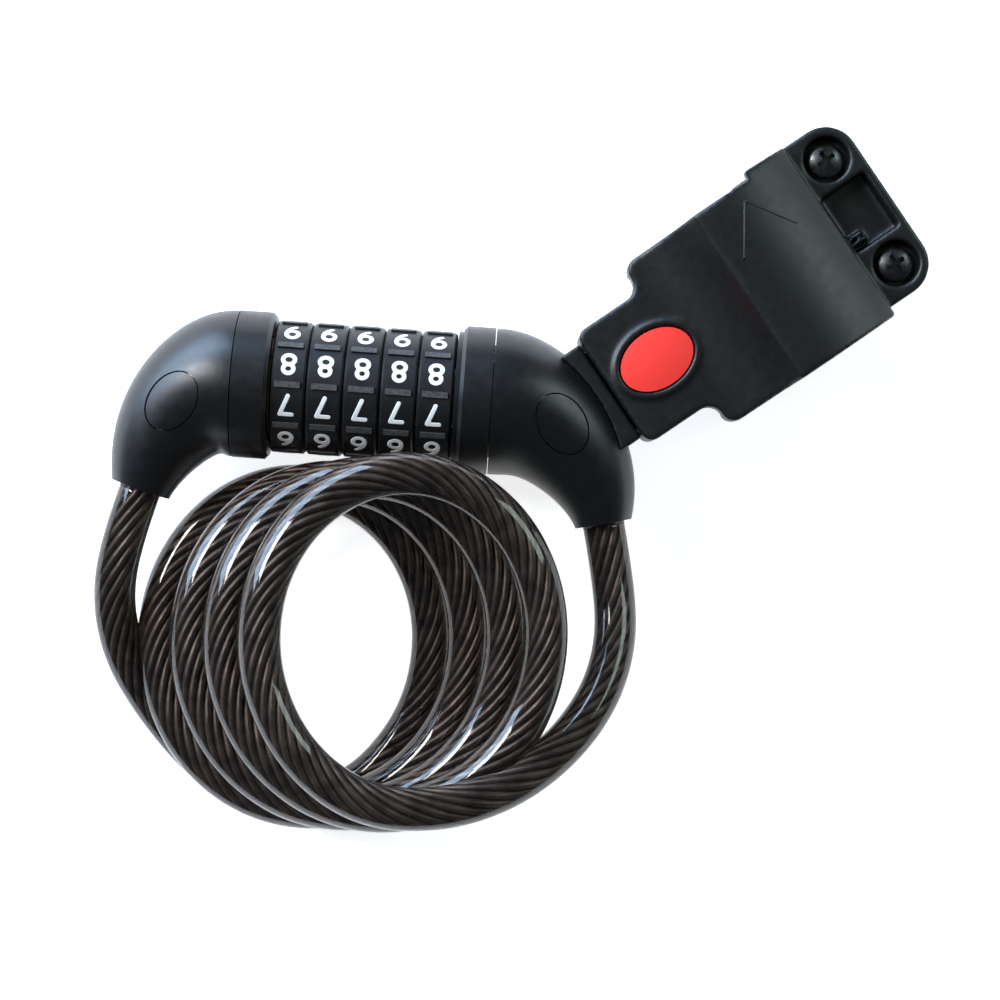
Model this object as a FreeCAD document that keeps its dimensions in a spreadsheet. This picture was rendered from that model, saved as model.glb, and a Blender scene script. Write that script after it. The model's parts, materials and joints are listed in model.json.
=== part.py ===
"""A five-dial combination cable lock, parked in its quick-release frame bracket.

Design frame: X runs along the dial axis with x = 0 at the middle dial, Y points away from the
coil and Z is up. The bracket has a frame of its own, centred on the release button and turned
about Z. The sheet's origin cells move every piece at the end, so that the origin is under the
middle of the solid parts, on the surface that the lock lies on.
"""
import FreeCAD, Part
import Sketcher
import math
import os
import re

DIALS = 5
DIGITS = 10

# Driving dimensions, in millimetres and degrees. Each is written once, here.
SIZES = {
    # number dials and the code discs inside them
    "dial_pitch": 8.6, "dial_gap": 0.3, "dial_radius": 15.6, "dial_bore": 11.0, "dial_chamfer": 0.5,
    "rib_height": 0.5, "rib_width": 1.4, "rib_span": 6.0,
    "disc_width": 4.6, "gate_depth": 1.9, "gate_gap": 0.2, "spline_width": 2.0, "spline_height": 0.8,
    "notch_radius": 0.8, "notch_gap": 0.15,
    # tube that carries the dials, and the toothed bolt inside it
    "core_radius": 7.0, "core_bore": 4.2, "core_end": 3.5, "core_anchor": 23.5,
    "clip_gap": 0.2, "clip_bite": 0.6, "clip_mouth": 4.9, "bump_length": 3.6,
    "bolt_gap": 0.1, "tooth_width": 2.8, "tooth_length": 2.2, "tooth_height": 8.5,
    "bolt_tip": 2.5, "bolt_nose": 1.2, "bolt_anchor": 21.5,
    "pin_radius": 1.25, "pin_half": 11.5, "pin_place": 5.0, "run_clearance": 0.06,
    "washer_radius": 12.5, "washer_thickness": 1.0, "clip_radius": 9.2,
    "spacer_radius": 16.1, "spacer_bore": 9.0, "spacer_width": 1.3,
    "strip_width": 2.4, "strip_thickness": 0.5,
    # the two horn-shaped heads
    "collar_radius": 17.5, "collar_length": 8.7, "collar_wall": 4.0, "collar_chamfer": 0.9,
    "seam": 0.25, "shell_wall": 2.2, "block_gap": 0.1, "left_boss": 4.3, "right_boss": 7.4,
    "oval_long": 7.4, "oval_short": 5.5, "oval_groove": 0.3, "oval_sink": 0.35, "oval_turn": 55.0,
    "left_oval_reach": 22.5, "left_oval_drop": 5.6, "right_oval_reach": 25.7, "right_oval_drop": 4.6,
    # cable
    "cable_radius": 5.0, "ferrule_wall": 0.8, "ferrule_length": 15.0, "ferrule_depth": 13.5,
    "sheath_wall": 0.6, "lead_gap": 0.3, "lead_start": 14.0,
    "coil_radius_x": 35.2, "coil_radius_y": 39.0, "coil_turns": 4.0, "coil_pitch": 10.2,
    "coil_top_x": 18.5, "coil_top_y": -56.95, "coil_step_x": -9.0, "coil_step_y": -1.46,
    "floor_gap": 0.2,
    # bracket: its reach past the dials, then sizes in its own frame
    "bracket_angle": 38.0, "bracket_reach": 46.8, "bracket_y": 12.1,
    "tube_radius": 15.9, "liner": 1.5, "saddle_wall": 3.6, "saddle_web": 13.6, "crown_shift": 2.0,
    "saddle_half": 22.6, "saddle_side": 5.6, "saddle_lap": 4.0, "crown_radius": 34.0, "clamp_gap": 1.5,
    "shoulder": 3.0, "armpit": 3.6, "dish_place": 6.0, "dish_radius": 22.0, "flare_length": 12.0,
    "flange_length": 15.3, "flange_height": 8.0, "flange_corner": 8.0, "flange_shift": 2.0,
    "screw_inset": 7.7, "screw_spacing": 29.4, "screw_gap": 0.2, "counterbore": 5.4,
    "head_radius": 4.0, "head_height": 2.6, "shank_radius": 2.0, "seat_depth": 3.8,
    "cross_width": 1.1, "cross_span": 4.6, "cross_depth": 1.5,
    "nut_flats": 7.0, "nut_height": 3.2, "screw_short": 0.4, "recess_half": 7.6, "recess_depth": 4.0,
    "recess_wall": 2.2, "fin_width": 0.8, "fin_drop": 0.8, "fin_root": 0.1, "liner_inset": 0.5,
    "socket_start": -12.6, "socket_half": 15.5, "socket_top": 10.4, "socket_floor": 10.6,
    "socket_corner": 2.5, "slot_half": 10.8, "slot_height": 3.7, "slot_end": 7.0,
    "slide_gap": 0.2, "neck_half": 13.2, "neck_height": 7.4, "neck_depth": 12.0, "neck_gap": 0.4,
    "fork_half": 3.2, "fork_root": 5.0, "tongue_gap": 0.8,
    "hook_reach": 8.6, "hook_width": 2.0, "hook_depth": 1.6, "hook_gap": 0.3,
    "pocket_half": 5.0, "pocket_end": 7.0, "pocket_gap": 0.8,
    "cover_thickness": 2.0, "cover_lip_x": 1.2, "cover_lip_y": 2.0, "cover_gap": 0.1,
    "button_long": 9.2, "button_short": 6.7, "button_gap": 0.3, "button_thickness": 4.2,
    "button_rise": 1.0, "button_dome": 45.0, "stem_radius": 2.2, "stem_length": 13.3, "stem_root": 0.5,
    "ledge": 0.9, "rim_width": 1.4, "rim_height": 0.7, "spring_wall": 1.3,
    "leaf_thickness": 0.6, "leaf_half": 4.0, "leaf_foot": 3.6, "leaf_rise": 3.2,
    "lug_screw_radius": 1.4, "lug_screw_head": 2.9, "lug_screw_seat": 2.2, "lug_screw_length": 19.0,
    "lug_screw_gap": 0.1, "driver_room": 5.0,
    "hinge_reach": 11.0, "hinge_drop": 1.2, "hinge_radius": 1.4, "knuckle_radius": 4.2,
    "knuckle_width": 2.8, "knuckle_gap": 0.4,
    # how far a cutting solid runs past the face that it cuts
    "overcut": 1.0,
    # where the origin ends up, found once the pieces are made
    "origin_x": 0.0, "origin_y": 0.0, "origin_z": 0.0,
}

# Stations of each head's centre line: reach along X past the dials, drop along -Y, radius, turn of
# the section.
LEFT_HORN = [(9.0, 0.0, 17.4, 0), (15.8, 1.6, 16.2, 18), (22.5, 7.7, 13.6, 44),
             (27.5, 16.8, 10.6, 64), (30.1, 26.6, 7.2, 74)]
RIGHT_HORN = [(9.0, 0.0, 17.4, 0), (18.0, 1.6, 16.3, 16), (27.5, 8.3, 13.5, 42),
              (34.3, 17.5, 10.3, 62), (37.4, 27.2, 6.8, 76)]

# Routes of the two cable ends after they have left the heads straight: x, y and height above the
# dial axis, chosen by hand.
RIGHT_LEAD = [(63.8, -54.6, 3.2), (60.8, -67.5, 8.0), (53.0, -79.5, 13.5), (41.0, -89.5, 19.0),
              (25.5, -95.3, 23.5)]
LEFT_LEAD = [(-57.0, -53.7, -3.8), (-54.3, -66.3, -8.6), (-48.0, -77.0, -12.9)]

for side, stations in (("left", LEFT_HORN), ("right", RIGHT_HORN)):
    for k, station in enumerate(stations):
        for word, number in zip(("reach", "drop", "girth", "turn"), station):
            SIZES[f"{side}_{word}_{k}"] = number

doc = FreeCAD.newDocument("CableLock")
sheet = doc.addObject("Spreadsheet::Sheet", "Sizes")
for row, (alias, number) in enumerate(SIZES.items(), start=1):
    sheet.set(f"A{row}", alias)
    sheet.set(f"B{row}", str(number))
    sheet.setAlias(f"B{row}", alias)
doc.recompute()

NODES = {}      # label: object
X_AXIS = FreeCAD.Vector(1, 0, 0)
Y_AXIS = FreeCAD.Vector(0, 1, 0)
Z_AXIS = FreeCAD.Vector(0, 0, 1)
ALONG_X = FreeCAD.Rotation(Y_AXIS, 90)
ALONG_Y = FreeCAD.Rotation(X_AXIS, -90)
UPRIGHT = FreeCAD.Rotation()


def formula(text):
    """An expression for setExpression, from a sum of the sheet's words."""
    return re.sub(r"[a-z][a-z0-9_]*", lambda word: "Sizes." + word.group(0), text)


def bind(thing, **values):
    """Tie an object's properties to the sheet."""
    for name, text in values.items():
        thing.setExpression(name, formula(text))
    return thing


def put(thing, x="0", y="0", z="0", turn=UPRIGHT):
    """Place an object at expressions of the sheet, turned."""
    thing.Placement = FreeCAD.Placement(FreeCAD.Vector(0, 0, 0), turn)
    for axis, text in (("x", x), ("y", y), ("z", z)):
        thing.setExpression("Placement.Base." + axis, formula(text))
    return thing


def spun(y, z, degrees):
    """Expressions for a point (y, z) turned about the dial axis."""
    c, t = math.cos(math.radians(degrees)), math.sin(math.radians(degrees))
    return f"({y})*{c:.9f} - ({z})*{t:.9f}", f"({y})*{t:.9f} + ({z})*{c:.9f}"


def cylinder(name, radius, height, x="0", y="0", z="0", turn=UPRIGHT):
    thing = doc.addObject("Part::Cylinder", name)
    bind(thing, Radius=radius, Height=height)
    return put(thing, x, y, z, turn)


def box(name, x, y, z, degrees=0):
    """A box between three pairs of expressions, turned about the dial axis."""
    thing = doc.addObject("Part::Box", name)
    bind(thing, Length=f"({x[1]}) - ({x[0]})", Width=f"({y[1]}) - ({y[0]})",
         Height=f"({z[1]}) - ({z[0]})")
    return put(thing, x[0], *spun(y[0], z[0], degrees), FreeCAD.Rotation(X_AXIS, degrees))


def cone(name, bottom, top, height, x="0", y="0", z="0", turn=UPRIGHT):
    thing = doc.addObject("Part::Cone", name)
    bind(thing, Radius1=bottom, Radius2=top, Height=height)
    return put(thing, x, y, z, turn)


def oval(name, long, short, low, high, x="0", y="0", turn=UPRIGHT):
    """An upright oval prism."""
    edge = doc.addObject("Part::Ellipse", name + "Edge")
    bind(edge, MajorRadius=long, MinorRadius=short)
    put(edge, x, y, low, turn)
    thing = doc.addObject("Part::Extrusion", name)
    thing.Base = edge
    thing.DirMode = "Custom"
    thing.Dir = Z_AXIS
    thing.Solid = True
    return bind(thing, LengthFwd=f"({high}) - ({low})")


def fuse(name, *things):
    thing = doc.addObject("Part::MultiFuse", name)
    thing.Shapes = list(things)
    thing.Refine = True
    return thing


def common(name, *things):
    thing = doc.addObject("Part::MultiCommon", name)
    thing.Shapes = list(things)
    return thing


def cut(name, base, *tools):
    for number, tool in enumerate(tools, start=1):
        thing = doc.addObject("Part::Cut", f"{name}Cut{number}")
        thing.Base = base
        thing.Tool = tool
        base = thing
    return base


def size(word):
    return float(sheet.get(word))


def group(name, *things):
    """Primitives as one piece, or like pieces that share a node."""
    thing = doc.addObject("Part::Compound", name)
    thing.Links = list(things)
    return thing


STACK = "(2.5*dial_pitch)"      # from the middle dial to the end of the dials
BRACKET_X = f"({STACK} + bracket_reach)"


def node(label, thing, x="0", in_bracket=False):
    """Name a finished piece and place it in the lock's frame or in the bracket's."""
    turn = FreeCAD.Rotation(Z_AXIS, size("bracket_angle") if in_bracket else 0)
    start = (BRACKET_X, "bracket_y") if in_bracket else (x, "0")
    put(thing, start[0] + " + origin_x", start[1] + " + origin_y", "origin_z", turn)
    thing.Label = label
    NODES[label] = thing
    return thing


def body(name):
    return doc.addObject("PartDesign::Body", name)


def plane(owner, role):
    return next(f for f in owner.Origin.OriginFeatures if f.Role == role)


def sketch(owner, name, role, offset="0"):
    """A sketch on one of the body's own origin planes."""
    thing = owner.newObject("Sketcher::SketchObject", name)
    thing.AttachmentSupport = [(plane(owner, role), "")]
    thing.MapMode = "FlatFace"
    if offset != "0":
        thing.setExpression("AttachmentOffset.Base.z", formula(offset))
    return thing


def tie(thing, kind, args, text):
    """One dimension of a sketch, driven by the sheet."""
    number = thing.addConstraint(Sketcher.Constraint(kind, *args, 1.0))
    thing.setExpression(f"Constraints[{number}]", formula(text))


def polygon(thing, corners):
    """A closed outline whose corners are pairs of expressions."""
    count = len(corners)
    around = [FreeCAD.Vector(10 * math.cos(2 * math.pi * k / count),
                             10 * math.sin(2 * math.pi * k / count), 0) for k in range(count)]
    for k in range(count):
        thing.addGeometry(Part.LineSegment(around[k], around[(k + 1) % count]))
    for k in range(count):
        thing.addConstraint(Sketcher.Constraint("Coincident", k, 2, (k + 1) % count, 1))
    for k, (across, up) in enumerate(corners):
        tie(thing, "DistanceX", (-1, 1, k, 1), across)
        tie(thing, "DistanceY", (-1, 1, k, 1), up)
    return thing


def feature(owner, kind, name, profile, **values):
    thing = owner.newObject("PartDesign::" + kind, name)
    thing.Profile = profile
    return bind(thing, **values)


def turned(label, corners, x="0"):
    """A turned piece: an outline in X and radius, spun about the dial axis."""
    owner = body(label.title().replace("_", ""))
    profile = polygon(sketch(owner, owner.Name + "Profile", "XY_Plane"), corners)
    spin = feature(owner, "Revolution", owner.Name + "Spin", profile)
    spin.ReferenceAxis = (plane(owner, "X_Axis"), [""])
    spin.Angle = 360
    return node(label, owner, x)


def polar(owner, name, original):
    """Ten copies of a feature around the dial axis, one for each digit."""
    thing = owner.newObject("PartDesign::PolarPattern", name)
    thing.Originals = [original]
    thing.Axis = (plane(owner, "X_Axis"), [""])
    thing.Angle = 360
    thing.Occurrences = DIGITS
    owner.Tip = thing
    return thing


def rectangle(thing, across, up):
    """A rectangle between two pairs of expressions."""
    return polygon(thing, [(across[0], up[0]), (across[1], up[0]), (across[1], up[1]),
                           (across[0], up[1])])


# ---------------------------------------------------------------- dials and code discs

def dial_ring(k):
    half = "(dial_pitch - dial_gap)/2"
    place = f"{k - DIALS // 2}*dial_pitch"
    ring = turned(f"dial_ring_{k + 1}", [
        (f"-{half}", "dial_bore"), (half, "dial_bore"), (half, "dial_radius - dial_chamfer"),
        (f"{half} - dial_chamfer", "dial_radius"), (f"dial_chamfer - {half}", "dial_radius"),
        (f"-{half}", "dial_radius - dial_chamfer")], place)
    outline = sketch(ring, ring.Name + "RibOutline", "XY_Plane", "dial_radius - dial_chamfer")
    rectangle(outline, ("-rib_span/2", "rib_span/2"), ("-rib_width/2", "rib_width/2"))
    rib = feature(ring, "Pad", ring.Name + "Rib", outline, Length="dial_chamfer + rib_height")
    polar(ring, ring.Name + "Ribs", rib)
    groove = sketch(ring, ring.Name + "GrooveOutline", "YZ_Plane", "-dial_pitch")
    rectangle(groove, ("-spline_width/2", "spline_width/2"),
              ("dial_bore - overcut", "dial_bore + spline_height"))
    slot = feature(ring, "Pocket", ring.Name + "Groove", groove, Length="2*dial_pitch")
    slot.Reversed = True
    polar(ring, ring.Name + "Grooves", slot)
    return ring


def code_disc(k):
    name = f"Disc{k + 1}"
    start = "-disc_width/2"
    blank = cylinder(name + "Blank", "dial_bore", "disc_width", start, turn=ALONG_X)
    steps = [360 * step / DIGITS for step in range(DIGITS)]
    keys = [box(f"{name}Key{n}", (start, "disc_width/2"),
                ("-spline_width/2 + run_clearance", "spline_width/2 - run_clearance"),
                ("dial_bore - overcut", "dial_bore + spline_height - run_clearance"), turn)
            for n, turn in enumerate(steps)]
    bore = cylinder(name + "Bore", "core_radius + run_clearance", "disc_width", start, turn=ALONG_X)
    gate = box(name + "Gate", (start, "disc_width/2"),
               ("-tooth_width/2 - gate_gap", "tooth_width/2 + gate_gap"),
               ("-core_radius - gate_depth", "0"))
    notches = [cylinder(f"{name}Notch{n}", "notch_radius", "disc_width", start,
                        *spun("0", "core_radius", turn), ALONG_X) for n, turn in enumerate(steps)]
    tools = fuse(name + "Hollow", bore, gate, *notches)
    solid = cut(name, fuse(name + "Splined", blank, *keys), tools)
    return node(f"code_disc_{k + 1}", solid, f"{k - DIALS // 2}*dial_pitch")


for dial in range(DIALS):
    dial_ring(dial)
    code_disc(dial)

# ---------------------------------------------------------------- core tube, bolt and what holds them

core = cylinder("CoreTube", "core_radius", f"2*{STACK} + core_end + core_anchor",
                f"-{STACK} - core_end", turn=ALONG_X)
core_hole = cylinder("CoreHole", "core_bore", f"2*{STACK} + core_end + bolt_tip + 2*bolt_nose",
                     f"-{STACK} - core_end", turn=ALONG_X)
core_slot = box("CoreSlot", (f"-{STACK} - core_end", f"{STACK} + spacer_width + gate_gap"),
                ("-tooth_width/2 - gate_gap", "tooth_width/2 + gate_gap"), ("-core_radius", "0"))
strip_groove = box("StripGroove", (f"-{STACK}", STACK),
                   ("-strip_width/2 - notch_gap", "strip_width/2 + notch_gap"),
                   ("core_radius - strip_thickness - notch_gap", "core_radius + overcut"))
core_pin_hole = cylinder("CorePinHole", "pin_radius", "2*pin_half", f"{STACK} + core_anchor - 2*pin_place",
                         z="-pin_half")
clip_start = f"-{STACK} - 2*washer_thickness - dial_gap - clip_gap"
clip_groove = cut("ClipGroove", cylinder("ClipGrooveOut", "core_radius + overcut", "washer_thickness",
                                         clip_start, turn=ALONG_X),
                  cylinder("ClipGrooveIn", "core_radius - clip_bite", "washer_thickness", clip_start,
                           turn=ALONG_X))
node("lock_core", cut("Core", core, core_hole, core_slot, strip_groove, core_pin_hole, clip_groove))

strip = box("Strip", (f"-{STACK} + notch_gap", f"{STACK} - notch_gap"),
            ("-strip_width/2", "strip_width/2"),
            ("core_radius - strip_thickness - notch_gap", "core_radius - notch_gap"))
bumps = [cylinder(f"Bump{k + 1}", "notch_radius - notch_gap", "bump_length",
                  f"{k - DIALS // 2}*dial_pitch - bump_length/2", z="core_radius", turn=ALONG_X)
         for k in range(DIALS)]
node("detent_strip", fuse("StripAndBumps", strip, *bumps))

washer_start = f"-{STACK} - washer_thickness - dial_gap/2"
node("core_washer", cut(
    "Washer", cylinder("WasherOut", "washer_radius", "washer_thickness", washer_start, turn=ALONG_X),
    cylinder("WasherIn", "core_radius + run_clearance", "washer_thickness", washer_start, turn=ALONG_X),
    box("WasherGate", (washer_start, f"-{STACK}"), ("-tooth_width/2 - gate_gap", "tooth_width/2 + gate_gap"),
        ("-core_radius - gate_depth", "0"))))
clip_ring = cut("ClipRing", cylinder("ClipOut", "clip_radius", "washer_thickness - 2*run_clearance",
                                     f"{clip_start} + run_clearance", turn=ALONG_X),
                cylinder("ClipIn", "core_radius - clip_bite", "washer_thickness", clip_start,
                         turn=ALONG_X),
                box("ClipMouth", (clip_start, f"-{STACK}"), ("-clip_mouth", "clip_mouth"),
                    ("-clip_radius - overcut", "0")))
node("core_clip", clip_ring)
turned("dial_spacer", [(f"{STACK} + dial_gap/2", "spacer_bore"),
                       (f"{STACK} + spacer_width", "spacer_bore"),
                       (f"{STACK} + spacer_width", "spacer_radius"),
                       (f"{STACK} + dial_gap/2", "spacer_radius")])

bolt = cylinder("BoltRod", "core_bore - bolt_gap", f"2*{STACK} + bolt_tip + bolt_anchor",
                f"-{STACK} - bolt_anchor", turn=ALONG_X)
nose = cone("BoltNose", "core_bore - bolt_gap", "core_bore/2", "bolt_nose", f"{STACK} + bolt_tip",
            turn=ALONG_X)
teeth = [box(f"Tooth{k + 1}", (f"{k - DIALS // 2 + 0.5}*dial_pitch - tooth_length/2",
                               f"{k - DIALS // 2 + 0.5}*dial_pitch + tooth_length/2"),
             ("-tooth_width/2", "tooth_width/2"), ("-tooth_height", "0")) for k in range(DIALS)]
bolt_pin_hole = cylinder("BoltPinHole", "pin_radius", "2*pin_half", f"-{STACK} - bolt_anchor + pin_place",
                         z="-pin_half")
node("bolt", cut("Bolt", fuse("BoltBlank", bolt, nose, *teeth), bolt_pin_hole))
node("bolt_pin", group("BoltPin", cylinder("BoltPinRod", "pin_radius", "2*pin_half",
                                           f"-{STACK} - bolt_anchor + pin_place", z="-pin_half")))
node("core_pin", group("CorePin", cylinder("CorePinRod", "pin_radius", "2*pin_half",
                                           f"{STACK} + core_anchor - 2*pin_place", z="-pin_half")))

# ---------------------------------------------------------------- horn-shaped heads

def reach(side, k):
    """How far along X a station of a head is."""
    return f"({STACK} + {side}_reach_{k})"


def horn_loft(name, side, shrink, last):
    """A smooth horn through circles, smaller by shrink and as far as station last."""
    way = -1 if side == "left" else 1
    rings = []
    for k in range(last + 1):
        ring = doc.addObject("Part::Circle", f"{name}Ring{k}")
        bind(ring, Radius=f"{side}_girth_{k} - ({shrink})")
        turn = math.radians(size(f"{side}_turn_{k}"))
        facing = math.degrees(math.atan2(-math.sin(turn), way * math.cos(turn)))
        put(ring, f"{way}*{reach(side, k)}", f"-{side}_drop_{k}", "0",
            FreeCAD.Rotation(Z_AXIS, facing) * ALONG_X)
        rings.append(ring)
    loft = doc.addObject("Part::Loft", name)
    loft.Sections = rings
    loft.Solid = True
    loft.Ruled = False
    return loft


def exit_direction(side):
    """Where the cable points as it leaves a head."""
    way = -1 if side == "left" else 1
    turn = math.radians(size(f"{side}_turn_{len(LEFT_HORN) - 1}"))
    return FreeCAD.Vector(way * math.cos(turn), -math.sin(turn), 0)


def exit_rod(name, side, radius, length):
    """A rod along the cable's exit, from its mouth into the head."""
    way = -1 if side == "left" else 1
    last = len(LEFT_HORN) - 1
    return cylinder(name, radius, length, f"{way}*{reach(side, last)}", f"-{side}_drop_{last}", "0",
                    FreeCAD.Rotation(Z_AXIS, exit_direction(side) * -1))


def from_bracket(x, y):
    """A point of the bracket's frame, as expressions in the lock's frame."""
    turn = math.radians(size("bracket_angle"))
    c, t = math.cos(turn), math.sin(turn)
    return (f"{BRACKET_X} + ({x})*{c:.9f} - ({y})*{t:.9f}",
            f"bracket_y + ({x})*{t:.9f} + ({y})*{c:.9f}")


def into_lug():
    """The turn that lays a cylinder along the lug screw, towards the right head."""
    return FreeCAD.Rotation(Z_AXIS, size("bracket_angle")) * FreeCAD.Rotation(Y_AXIS, -90)


def lug_rod(name, radius, length):
    """A rod on the lug screw's axis, from under its head into the right head."""
    return cylinder(name, radius, length, *from_bracket("-fork_root - lug_screw_seat", "0"), "0",
                    into_lug())


def head(side, oval_x, oval_y, oval_turn):
    way = -1 if side == "left" else 1
    name = side.title()
    last = len(LEFT_HORN) - 1
    boss_start = (f"-{reach(side, 0)} - overcut" if way < 0 else f"{reach(side, 0)} - right_boss")
    inside = horn_loft(name + "Cavity", side, "shell_wall", last - 1)
    turn = FreeCAD.Rotation(Z_AXIS, oval_turn)
    window = oval(name + "Window", "oval_long + oval_groove", "oval_short + oval_groove", "0",
                  "2*collar_radius", oval_x, oval_y, turn)
    hole = exit_rod(name + "FerruleHole", side, "cable_radius + ferrule_wall", "ferrule_length")
    fixing = [lug_rod(name + "FixingHole", "lug_screw_radius", "lug_screw_length")] if way > 0 else []
    shell = cut(name + "Shell", horn_loft(name + "Outside", side, "0", last), inside, window, hole,
                *fixing)
    node(f"{side}_head_shell", shell)

    plate = common(name + "Plate", horn_loft(name + "PlateSkin", side, "oval_sink", last),
                   oval(name + "PlateEdge", "oval_long", "oval_short", "0", "2*collar_radius",
                        oval_x, oval_y, turn))
    plate = cut(name + "PlateThin", plate, horn_loft(name + "PlateBack", side, "shell_wall", last - 1))
    node(f"{side}_oval_plate", plate)

    ferrule = cut(name + "Ferrule",
                  exit_rod(name + "FerruleOut", side, "cable_radius + ferrule_wall", "ferrule_length"),
                  exit_rod(name + "FerruleIn", side, "cable_radius - sheath_wall", "ferrule_depth"))
    node(f"{side}_ferrule", ferrule)

    block = horn_loft(name + "BlockSkin", side, "shell_wall + block_gap", last - 1)
    boss = cylinder(name + "Boss", "collar_radius - collar_wall - block_gap",
                    f"{side}_boss + overcut", boss_start, turn=ALONG_X)
    rod = "core_bore - bolt_gap" if side == "left" else "core_radius"
    place = f"-{STACK} - bolt_anchor" if side == "left" else f"{STACK}"
    depth = "bolt_anchor" if side == "left" else "core_anchor"
    pin_x = (f"-{STACK} - bolt_anchor + pin_place" if side == "left"
             else f"{STACK} + core_anchor - 2*pin_place")
    block = cut(name + "Block", fuse(name + "BlockSolid", block, boss),
                cylinder(name + "RodHole", rod, depth, place, turn=ALONG_X),
                cylinder(name + "PinHole", "pin_radius", "2*pin_half", pin_x, z="-pin_half"),
                exit_rod(name + "CableHole", side, "cable_radius + ferrule_wall", "ferrule_length"),
                *fixing)
    node(f"{side}_head_block", block)

    edge = f"{reach(side, 0)} - seam"
    near = f"{STACK} + spacer_width" if side == "right" else f"{STACK} + dial_gap"
    bore = "collar_radius - collar_wall"
    corners = [(near, bore), (edge, bore), (edge, "collar_radius"),
               (f"{near} + collar_chamfer", "collar_radius"), (near, "collar_radius - collar_chamfer")]
    turned(f"{side}_collar", [(f"{way}*({across})", up) for across, up in corners])


head("left", f"-{STACK} - left_oval_reach", "-left_oval_drop", size("oval_turn"))
head("right", f"{STACK} + right_oval_reach", "-right_oval_drop", -size("oval_turn"))

# ---------------------------------------------------------------- bracket, in its own frame

BORE = "(tube_radius + liner)"
CREST = f"({BORE} + saddle_wall)"
TUBE_X = f"({BORE} + saddle_web)"
SADDLE_END = f"({TUBE_X} + {CREST})"
FLANGE_END = f"({SADDLE_END} + flange_length)"
SCREW_X = f"({FLANGE_END} - screw_inset)"
EAR = "(socket_half + 2*knuckle_gap + knuckle_width)"
SIDES = (("A", 1), ("B", -1))


def across(way, near, far):
    """A pair of Y expressions on one side of the bracket, low one first."""
    return (near, far) if way > 0 else (f"-({far})", f"-({near})")


def slab(name, x, half, z, corner, shift="0"):
    """A slab whose two outer corners, at the second X, are rounded."""
    way = "1" if corner[0] == "+" else "-1"
    radius = corner[1:]
    rods = [cylinder(f"{name}Corner{tag}", radius, f"({z[1]}) - ({z[0]})",
                     f"{x[1]} - {way}*{radius}", f"{side}*({half} - {radius}) + {shift}", z[0])
            for tag, side in SIDES]
    low, high = (x[0], f"{x[1]} - {radius}") if way == "1" else (f"{x[1]} + {radius}", x[0])
    end = (low, x[1]) if way == "1" else (x[1], high)
    return [box(name + "Wide", (low, high), (f"{shift} - {half}", f"{shift} + {half}"), z),
            box(name + "Narrow", end, (f"{radius} - {half} + {shift}", f"{half} - {radius} + {shift}"),
                z), *rods]


def crown(name, start, way):
    """The outside of one clamp half: a block with rounded shoulders under a shallow crown."""
    z = ("clamp_gap/2", f"{CREST} + overcut") if way > 0 else (f"-{CREST} - overcut", "-clamp_gap/2")
    block = slab(name + "Block", (SADDLE_END, start), "saddle_half", z, "-shoulder")
    flare = box(name + "Flare", (f"{SADDLE_END} - flare_length", SADDLE_END),
                ("-saddle_half", "saddle_half + flange_shift"), z)
    arch = cylinder(name + "Arch", "crown_radius", "2*saddle_half + 2*flange_shift + 2*overcut",
                    f"{TUBE_X} - crown_shift", "-saddle_half - flange_shift - overcut",
                    f"{way}*({CREST} - crown_radius)", ALONG_Y)
    return common(name, fuse(name + "Plan", *block, flare), arch)


def armpit(tag, way):
    """The hollow corner between the socket and one shoulder of the saddle."""
    z = ("-socket_floor", "socket_top")
    y = across(way, "socket_half", "socket_half + armpit")
    return cut("Armpit" + tag, box("ArmpitBlock" + tag, ("saddle_side - armpit", "saddle_side"), y, z),
               cylinder("ArmpitRound" + tag, "armpit", "socket_top + socket_floor", "saddle_side - armpit",
                        f"{way}*(socket_half + armpit)", "-socket_floor"))


def cross_rod(name, radius, way, near, far, x="hinge_reach", z="-hinge_drop"):
    """A rod across the bracket, on one side of it."""
    y = across(way, near, far)
    return cylinder(name, radius, f"({y[1]}) - ({y[0]})", x, y[0], z, ALONG_Y)


def tube_space(name):
    return cylinder(name, BORE, "2*saddle_half + 2*flange_shift + 2*overcut", TUBE_X,
                    "-saddle_half - flange_shift - overcut", "0", ALONG_Y)


def screw_y(way):
    return f"{way}*screw_spacing/2 + flange_shift"


def screw_holes(name, radius, low, height):
    return [cylinder(f"{name}{tag}", radius, height, SCREW_X, screw_y(way), low)
            for tag, way in SIDES]


BUTTON_TOP = "(socket_top + button_rise)"
BUTTON_FOOT = f"({BUTTON_TOP} - button_thickness)"
POCKET = ("-hook_reach - hook_width/2 - pocket_gap", "pocket_end")
COVER_TOP = "(cover_thickness - socket_floor)"
TONGUE = "(slot_height - slide_gap)"


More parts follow.
